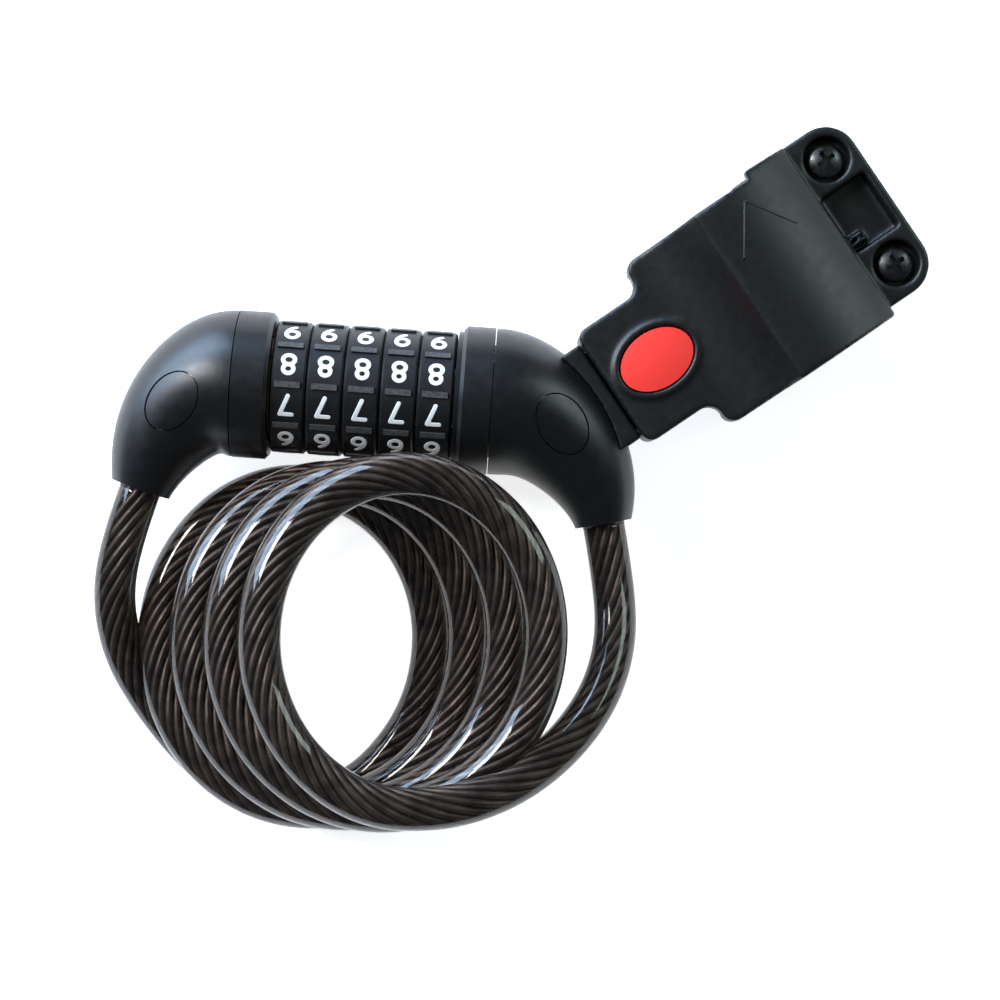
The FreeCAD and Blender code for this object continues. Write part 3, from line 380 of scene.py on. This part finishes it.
def wire_rings(rings, spacing, number, first):
    """The rings of one wire, which winds round the cable's line from the ring with number first."""
    places = []
    for k, (place, forward, right) in enumerate(rings):
        turn = 2 * math.pi * ((first + k) * spacing / LAY + number / WIRES)
        over = forward.cross(right)
        outward = math.cos(turn) * right + math.sin(turn) * over
        places.append((place + (ROPE_RADIUS - WIRE_RADIUS) * outward, outward))
    wound = []
    for k, (place, outward) in enumerate(places):
        forward = (places[min(k + 1, len(places) - 1)][0] - places[max(k - 1, 0)][0]).normalized()
        wound.append((place, forward, (outward - forward * outward.dot(forward)).normalized()))
    return wound


def cable_piece(tag, rings, spacing, first, caps):
    """The sheath and the wires of one stretch of the cable."""
    build = bmesh.new()
    tube(build, rings, CABLE_RADIUS, SHEATH_SIDES, caps)
    sheath = add_built("cable_sheath_" + tag, build)
    sheath.visible_shadow = False
    build = bmesh.new()
    tube(build, rings, CORE_RADIUS, CORE_SIDES, (True, True))
    for number in range(WIRES):
        tube(build, wire_rings(rings, spacing, number, first), WIRE_RADIUS, WIRE_SIDES, (True, True))
    wires = add_built("cable_wires_" + tag, build)
    return sheath, wires


LEAD_SHARE = 0.885           # of the cable's length, where the stretch that follows the left head begins


def cable():
    """The cable in two stretches: the coil stays with the lock, the last lead follows the left head."""
    line = cable_line()
    rings, length = even_line(line, RING_STEP)
    spacing = length / (len(rings) - 1)
    seam = round(LEAD_SHARE * (len(rings) - 1))
    coil = cable_piece("coil", rings[:seam + 1], spacing, 0, (True, False))
    lead = cable_piece("lead", rings[seam:], spacing, seam, (False, True))
    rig.ride(coil[0], "lock_body")
    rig.ride(coil[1], "lock_body")
    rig.replaces(coil[0], "cable_coil", "cable_lead_right")
    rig.replaces(lead[0], "cable_lead_left")
    near, far = rings[seam][0], lock_point(*straight_end(LEFT_MOUTH, LEFT_TURN))
    for thing in lead:
        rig.blend(thing, "lock_body", "left_head", start=near, end=far)
    for thing in (*coil, *lead):
        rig.slot(thing, "cable_sheath")
    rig.cord(coil[0], exit=rings[0][0], length=seam * spacing, diameter=2 * CABLE_RADIUS,
            far_end="object", stiffness="stiff", lay="coiled", with_pieces=[coil[1]],
            path=[ring[0] for ring in rings[:seam + 1]])
    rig.cord(lead[0], exit=rings[-1][0], length=length - seam * spacing, diameter=2 * CABLE_RADIUS,
            far_end="object", stiffness="stiff", lay="loose", with_pieces=[lead[1]],
            path=[ring[0] for ring in rings[seam:]])
    return coil, lead


COIL, LEAD = cable()

# ---------------------------------------------------------------- materials

DIAL_RADIUS = 0.0156
DIAL_PITCH = 0.0086
RIB_FOOT, RIB_TOP = 0.0001, 0.0004                   # over the dial, where a rib's rubbed grey begins
NOISE_LOW, NOISE_HIGH = 0.3, 0.7                     # most of a noise lies between these
MIX_FACTOR, MIX_FIRST, MIX_SECOND, MIX_COLOUR = 0, 6, 7, 2      # sockets of a Mix node set to colour


def shader(name, colour, rough, metallic=0.0):
    """A material, and its Principled shader."""
    thing = bpy.data.materials.new(name)
    thing.use_nodes = True
    nodes = thing.node_tree.nodes
    nodes.clear()
    out = nodes.new("ShaderNodeOutputMaterial")
    principled = nodes.new("ShaderNodeBsdfPrincipled")
    thing.node_tree.links.new(principled.outputs["BSDF"], out.inputs["Surface"])
    principled.inputs["Base Color"].default_value = (*colour, 1)
    principled.inputs["Roughness"].default_value = rough
    principled.inputs["Metallic"].default_value = metallic
    return thing, principled


def noise(thing, scale, detail=4.0, stretch=None):
    """A noise texture in the object's own coordinates: scale is in features per metre."""
    nodes, links = thing.node_tree.nodes, thing.node_tree.links
    place = nodes.new("ShaderNodeTexCoord")
    texture = nodes.new("ShaderNodeTexNoise")
    texture.inputs["Scale"].default_value = scale
    texture.inputs["Detail"].default_value = detail
    if stretch is None:
        links.new(place.outputs["Object"], texture.inputs["Vector"])
    else:
        mapping = nodes.new("ShaderNodeMapping")
        mapping.inputs["Scale"].default_value = stretch
        links.new(place.outputs["Object"], mapping.inputs["Vector"])
        links.new(mapping.outputs["Vector"], texture.inputs["Vector"])
    return texture.outputs["Fac"]


def spread(thing, factor, low, high):
    """A number that goes from low to high with a noise."""
    ramp = thing.node_tree.nodes.new("ShaderNodeMapRange")
    ramp.inputs["From Min"].default_value = NOISE_LOW
    ramp.inputs["From Max"].default_value = NOISE_HIGH
    ramp.inputs["To Min"].default_value = low
    ramp.inputs["To Max"].default_value = high
    thing.node_tree.links.new(factor, ramp.inputs["Value"])
    return ramp.outputs["Result"]


def blotch(thing, factor, first, second):
    """A colour between two, by a factor."""
    mix = thing.node_tree.nodes.new("ShaderNodeMix")
    mix.data_type = "RGBA"
    mix.inputs[MIX_FIRST].default_value = (*first, 1)
    mix.inputs[MIX_SECOND].default_value = (*second, 1)
    thing.node_tree.links.new(factor, mix.inputs[MIX_FACTOR])
    return mix.outputs[MIX_COLOUR]


def bump(thing, height, strength, depth):
    """A normal that follows a height, up to a depth in metres."""
    node = thing.node_tree.nodes.new("ShaderNodeBump")
    node.inputs["Strength"].default_value = strength
    node.inputs["Distance"].default_value = depth
    thing.node_tree.links.new(height, node.inputs["Height"])
    return node.outputs["Normal"]


def plastic(name, colour, rough, grain=3500, grain_depth=0.00002, lift=1.3, coat=0.0):
    """A moulded plastic: fine grain, slow changes of gloss, and faint paler patches."""
    thing, principled = shader(name, colour, rough)
    links = thing.node_tree.links
    slow = noise(thing, 90, detail=5)
    paler = tuple(min(1, part * lift) for part in colour)
    links.new(blotch(thing, spread(thing, slow, 0, 1), colour, paler), principled.inputs["Base Color"])
    links.new(spread(thing, noise(thing, 450, detail=6), rough - 0.03, rough + 0.04),
              principled.inputs["Roughness"])
    links.new(bump(thing, noise(thing, grain, detail=2), strength=0.35, depth=grain_depth),
              principled.inputs["Normal"])
    principled.inputs["Coat Weight"].default_value = coat
    return thing


def metal(name, colour, rough, stretch=(1, 1, 1)):
    """A plated or cast metal with fine marks."""
    thing, principled = shader(name, colour, rough, metallic=1.0)
    links = thing.node_tree.links
    marks = noise(thing, 1200, detail=5, stretch=stretch)
    dull = tuple(part * 0.7 for part in colour)
    links.new(blotch(thing, spread(thing, noise(thing, 200, detail=4), 0, 1), colour, dull),
              principled.inputs["Base Color"])
    links.new(spread(thing, marks, rough - 0.1, rough + 0.12), principled.inputs["Roughness"])
    links.new(bump(thing, marks, strength=0.3, depth=0.00002), principled.inputs["Normal"])
    return thing


def sheath_look():
    """Clear plastic with a smoky tint."""
    thing, principled = shader("smoky_sheath", (0.42, 0.37, 0.34), 0.04)
    principled.inputs["Transmission Weight"].default_value = 1.0
    principled.inputs["IOR"].default_value = 1.5
    links = thing.node_tree.links
    links.new(spread(thing, noise(thing, 300, detail=4), 0.02, 0.09), principled.inputs["Roughness"])
    links.new(bump(thing, noise(thing, 140, detail=2), strength=0.05, depth=0.0002),
              principled.inputs["Normal"])
    return thing


def wire_look():
    """Dark oiled steel wires."""
    thing, principled = shader("dark_wire", (0.10, 0.08, 0.068), 0.38, metallic=0.8)
    links = thing.node_tree.links
    patch = spread(thing, noise(thing, 260, detail=5), 0, 1)
    links.new(blotch(thing, patch, (0.034, 0.026, 0.022), (0.11, 0.088, 0.074)),
              principled.inputs["Base Color"])
    links.new(spread(thing, noise(thing, 2500, detail=3), 0.32, 0.5), principled.inputs["Roughness"])
    return thing


def dial_look():
    """Black dial plastic whose raised ribs are rubbed to grey."""
    thing = plastic("dial_black", (0.004, 0.0042, 0.005), 0.42, grain=5000)
    nodes, links = thing.node_tree.nodes, thing.node_tree.links
    principled = next(node for node in nodes if node.type == "BSDF_PRINCIPLED")
    place = nodes.new("ShaderNodeTexCoord")
    offset = nodes.new("ShaderNodeVectorMath")
    offset.operation = "SUBTRACT"
    offset.inputs[1].default_value = LOCK
    flat = nodes.new("ShaderNodeVectorMath")
    flat.operation = "MULTIPLY"
    flat.inputs[1].default_value = (0, 1, 1)
    far = nodes.new("ShaderNodeVectorMath")
    far.operation = "LENGTH"
    links.new(place.outputs["Object"], offset.inputs[0])
    links.new(offset.outputs["Vector"], flat.inputs[0])
    links.new(flat.outputs["Vector"], far.inputs[0])
    ramp = nodes.new("ShaderNodeMapRange")
    ramp.inputs["From Min"].default_value = DIAL_RADIUS + RIB_FOOT
    ramp.inputs["From Max"].default_value = DIAL_RADIUS + RIB_TOP
    links.new(far.outputs["Value"], ramp.inputs["Value"])
    mix = nodes.new("ShaderNodeMix")
    mix.data_type = "RGBA"
    old = principled.inputs["Base Color"].links[0].from_socket
    links.new(ramp.outputs["Result"], mix.inputs[MIX_FACTOR])
    links.new(old, mix.inputs[MIX_FIRST])
    links.new(blotch(thing, spread(thing, noise(thing, 1500, detail=3), 0, 1),
                     (0.035, 0.034, 0.034), (0.085, 0.083, 0.082)), mix.inputs[MIX_SECOND])
    links.new(mix.outputs[MIX_COLOUR], principled.inputs["Base Color"])
    return thing


LOOKS = {
    "dial_plastic": dial_look(),
    "head_plastic": plastic("head_black", (0.0030, 0.0034, 0.0042), 0.36, grain=2600),
    "collar_plastic": plastic("collar_black", (0.0030, 0.0034, 0.0042), 0.38, grain=2600),
    "bracket_plastic": plastic("bracket_black", (0.0025, 0.0030, 0.0030), 0.44, grain=1800,
                               grain_depth=0.00004),
    "liner_rubber": plastic("liner_black", (0.014, 0.014, 0.014), 0.75, grain=1500,
                            grain_depth=0.00006),
    "black_screw_steel": metal("screw_black", (0.085, 0.085, 0.09), 0.36),
    "red_plastic": plastic("button_red", (0.95, 0.045, 0.032), 0.42, grain=1600, lift=1.06,
                           grain_depth=0.00001, coat=0.15),
    "zinc": metal("cast_zinc", (0.50, 0.50, 0.52), 0.45),
    "brass_washer": metal("washer_brass", (0.72, 0.53, 0.24), 0.3),
    "steel": metal("plated_steel", (0.60, 0.60, 0.62), 0.25, stretch=(1, 6, 6)),
}
WHITE = plastic("digit_white", (0.80, 0.80, 0.80), 0.5, lift=1.12, grain=3000)


def dress(thing, material):
    """Give an object one material."""
    thing.data.materials.clear()
    thing.data.materials.append(material)


dress(COIL[0], sheath_look())
dress(LEAD[0], COIL[0].data.materials[0])
dress(COIL[1], wire_look())
dress(LEAD[1], COIL[1].data.materials[0])
for part in frame["record"]["subparts"]:
    if part["material_slot"] in LOOKS:
        dress(frame["nodes"][part["node"]], LOOKS[part["material_slot"]])

# ---------------------------------------------------------------- digits

DIGIT_HALF_WIDTH, DIGIT_HALF_HEIGHT = 0.00148, 0.00225    # of the stroke's middle line
STROKE = 0.00056             # half the stroke's width
BEAD_STEP = 0.3 * STROKE     # between the round voxel beads of a stroke
DIGIT_VOXEL, DIGIT_PASSES = 0.00014, 3
DIGIT_PROUD = 0.00007
DIGIT_SUNK = 0.5 * DIGIT_PROUD                       # of the digit's middle under the dial's radius
FACE_STEEP, FACE_LIMIT = 2.5, 1.5                    # how fast its height rises, and where it is flat


def arc(x, y, wide, high, start, end, steps=14):
    """Points of an oval's arc, in shares of the digit's half sizes and degrees."""
    turns = [math.radians(start + (end - start) * k / steps) for k in range(steps + 1)]
    return [(x + wide * math.cos(turn), y + high * math.sin(turn)) for turn in turns]


# the middle lines of each digit's strokes
STROKES = {
    0: [arc(0, 0, 0.95, 1, 0, 360, steps=28)],
    1: [[(-0.55, 0.55), (0.12, 1), (0.12, -1)]],
    2: [arc(0, 0.46, 0.92, 0.54, 170, -25) + [(-0.95, -1), (1, -1)]],
    3: [arc(0, 0.5, 0.86, 0.5, 160, -90), arc(0, -0.48, 0.95, 0.52, 90, -160)],
    4: [[(0.45, -1), (0.45, 1), (-1, -0.45), (1, -0.45)]],
    5: [[(0.85, 1), (-0.72, 1)] + arc(-0.02, -0.36, 0.97, 0.64, 135, -150)],
    6: [arc(0, -0.42, 0.95, 0.58, 0, 360, steps=28), arc(1.1, -0.42, 2.05, 1.5, 180, 110)],
    7: [[(-0.95, 1), (0.95, 1), (-0.25, -1)]],
    8: [arc(0, 0.52, 0.82, 0.48, 0, 360, steps=24), arc(0, -0.48, 0.95, 0.52, 0, 360, steps=24)],
    9: [arc(0, 0.42, 0.95, 0.58, 0, 360, steps=28), arc(-1.1, 0.42, 2.05, 1.5, 0, -70)],
}


def digit_shape(number):
    """A mesh of a flat digit with round ends: voxels round beads along its strokes."""
    build = bmesh.new()
    for stroke in STROKES[number]:
        places = [Vector((x * DIGIT_HALF_WIDTH, y * DIGIT_HALF_HEIGHT, 0)) for x, y in stroke]
        for a, b in zip(places, places[1:]):
            steps = max(1, round((b - a).length / BEAD_STEP))
            for k in range(steps + 1):
                bmesh.ops.create_icosphere(build, subdivisions=2, radius=STROKE,
                                           matrix=Matrix.Translation(a.lerp(b, k / steps)))
    thing = add_built(f"digit_{number}", build)
    soften(thing, DIGIT_VOXEL, DIGIT_PASSES)
    mesh = applied(thing)
    bpy.data.objects.remove(thing)
    return mesh


FIRST_DIGIT, FIRST_TURN = 8, math.radians(18)        # from straight up towards +Y
DIGIT_TURN = math.radians(36)
DIALS = 5


def wrapped(shape, turn, x):
    """Vertices of a flat digit laid round a dial, its top towards the next lower digit."""
    for vertex in shape.vertices:
        height = DIAL_RADIUS - DIGIT_SUNK
        height += max(-FACE_LIMIT, min(FACE_LIMIT, vertex.co.z / STROKE * FACE_STEEP)) * DIGIT_PROUD
        angle = turn - vertex.co.y / DIAL_RADIUS
        yield lock_point(x - vertex.co.x, height * math.sin(angle), height * math.cos(angle))


def digits():
    """The raised digits of every dial, each dial's set in one piece."""
    shapes = [digit_shape(number) for number in STROKES]
    for k in range(DIALS):
        build = bmesh.new()
        for number, shape in enumerate(shapes):
            turn = FIRST_TURN + (number - FIRST_DIGIT) * DIGIT_TURN
            corners = [build.verts.new(place)
                       for place in wrapped(shape, turn, (k - DIALS // 2) * DIAL_PITCH)]
            for face in shape.polygons:
                build.faces.new([corners[index] for index in face.vertices])
        thing = add_built(f"dial_digits_{k + 1}", build)
        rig.ride(thing, f"dial_{k + 1}")
        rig.slot(thing, "dial_plastic")
        dress(thing, WHITE)


digits()

# ---------------------------------------------------------------- rounded shells

SHELL_VOXEL, SHELL_PASSES = 0.0004, 16
SHELL_KEEP = 0.5             # of the faces, after smoothing


def rounded(node):
    """A copy of a CAD node with softened edges, which stands for it."""
    source = frame["nodes"][node]
    thing = add(node + "_moulded", source.data.copy())
    soften(thing, SHELL_VOXEL, SHELL_PASSES)
    thing.modifiers.new("Thin", "DECIMATE").ratio = SHELL_KEEP
    thing.data = applied(thing)
    thing.modifiers.clear()
    thing.data.polygons.foreach_set("use_smooth", [True] * len(thing.data.polygons))
    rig.ride(thing, source["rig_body"])
    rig.replaces(thing, node)
    slot = next(part["material_slot"] for part in frame["record"]["subparts"] if part["node"] == node)
    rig.slot(thing, slot)
    dress(thing, LOOKS[slot])


for shell in ("bracket_upper_half", "bracket_lower_half", "bracket_lug"):
    rounded(shell)

# ---------------------------------------------------------------- arrow on the bracket

# corners of its two strokes, along the bracket and across it
ARROW = [(0.0438, 0.0079), (0.0363, 0.0188), (0.0286, 0.0076)]
ARROW_PROUD, ARROW_RADIUS = 0.00012, 0.0003
ARROW_STEPS, ARROW_SIDES = 24, 10
CROWN_RADIUS, CREST, CROWN_X = 0.034, 0.021, 0.029   # of the saddle's crown, its top and its middle


def crown_height(x):
    """Height of the bracket's crown over the dial axis."""
    return CREST - CROWN_RADIUS + math.sqrt(CROWN_RADIUS**2 - (x - CROWN_X)**2)


def arrow():
    """A thin raised arrowhead that lies on the crown."""
    build = bmesh.new()
    for a, b in zip(ARROW, ARROW[1:]):
        places = []
        for k in range(ARROW_STEPS + 1):
            x = a[0] + (b[0] - a[0]) * k / ARROW_STEPS
            y = a[1] + (b[1] - a[1]) * k / ARROW_STEPS
            places.append(bracket_point(x, y, crown_height(x) + ARROW_PROUD - ARROW_RADIUS))
        rings = []
        for k, place in enumerate(places):
            forward = (places[min(k + 1, ARROW_STEPS)] - places[max(k - 1, 0)]).normalized()
            rings.append((place, forward, UP.cross(forward).normalized()))
        tube(build, rings, ARROW_RADIUS, ARROW_SIDES, (True, True))
    thing = add_built("bracket_arrow", build)
    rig.ride(thing, "bracket")
    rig.slot(thing, "bracket_plastic")
    dress(thing, LOOKS["bracket_plastic"])


arrow()

# ---------------------------------------------------------------- floor and light

FLOOR_HALF = 3


def floor():
    """A pale floor that also glows, so that it stays near white."""
    build = bmesh.new()
    bmesh.ops.create_grid(build, x_segments=1, y_segments=1, size=FLOOR_HALF)
    thing = add_built("Floor", build, smooth=False)
    material, principled = shader("floor_paper", (0.93, 0.93, 0.93), 0.9)
    principled.inputs["Specular IOR Level"].default_value = 0.0
    principled.inputs["Emission Color"].default_value = (1, 1, 1, 1)
    principled.inputs["Emission Strength"].default_value = 0.78
    dress(thing, material)
    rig.stage(thing)


def lamp(name, place, aim, wide, high, power, colour):
    """A rectangular lamp, in metres and watts."""
    data = bpy.data.lights.new(name, "AREA")
    data.shape = "RECTANGLE"
    data.size, data.size_y = wide, high
    data.energy = power
    data.color = colour
    thing = bpy.data.objects.new(name, data)
    bpy.context.scene.collection.objects.link(thing)
    thing.location = place
    thing.rotation_euler = (aim - place).to_track_quat("-Z", "Y").to_euler()


def world():
    """A dim, slightly blue sky for what faces no lamp."""
    thing = bpy.data.worlds.new("Studio")
    bpy.context.scene.world = thing
    thing.use_nodes = True
    back = thing.node_tree.nodes["Background"]
    back.inputs["Color"].default_value = (0.75, 0.82, 0.9, 1)
    back.inputs["Strength"].default_value = 0.12


floor()
world()
AIM = lock_point(0.02, -0.03)
lamp("Window", lock_point(-1.1, 0.95, 0.60), AIM, 1.7, 1.0, 62, (0.55, 0.74, 1.0))
lamp("Fill", lock_point(0.9, 0.55, 0.62), AIM, 0.5, 0.6, 4.5, (0.80, 1.0, 0.95))
lamp("Top", lock_point(-0.72, 0.30, 0.75), AIM, 0.3, 0.3, 8.0, (1.0, 0.98, 0.96))
bpy.context.scene.view_settings.view_transform = "Standard"

with open(SIZE_FILE, "w") as file:
    json.dump({"cad": cad_box, "visual": [list(corner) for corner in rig.bounds()]}, file)
